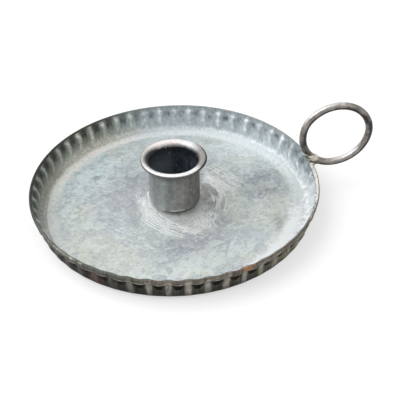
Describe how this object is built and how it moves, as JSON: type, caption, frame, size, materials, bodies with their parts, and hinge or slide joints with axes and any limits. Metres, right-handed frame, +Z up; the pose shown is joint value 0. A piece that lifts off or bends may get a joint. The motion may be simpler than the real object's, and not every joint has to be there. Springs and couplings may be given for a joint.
{
  "type": "chamberstick",
  "caption": "Chamberstick: shallow fluted galvanised pan with a folded hem, a central drawn steel candle cup and a round wire finger ring brazed to the hem.",
  "frame": {"origin": "centre of the pan's flat underside, on the axis of the pan and the candle cup", "axes": "+Z up out of the candle cup, +X from the pan's centre towards the finger ring, +Y to the left of +X"},
  "size_m": [0.1734, 0.144, 0.0494],
  "materials": {
    "galvanised_sheet": "hot dip galvanised sheet, dull, with zinc spangle and wiped scratches",
    "drawn_steel": "drawn steel cup, satin, bright on the rounded lip",
    "solder": "dull soft solder",
    "steel_wire": "bent round steel wire, warm grey, worn smooth",
    "braze": "pale braze, lumpy as it froze"
  },
  "bodies": {
    "root": {"drip_pan": "galvanised_sheet", "candle_socket": "drawn_steel", "socket_solder": "solder", "ring_handle": "steel_wire", "handle_braze": "braze"}
  },
  "joints": []
}
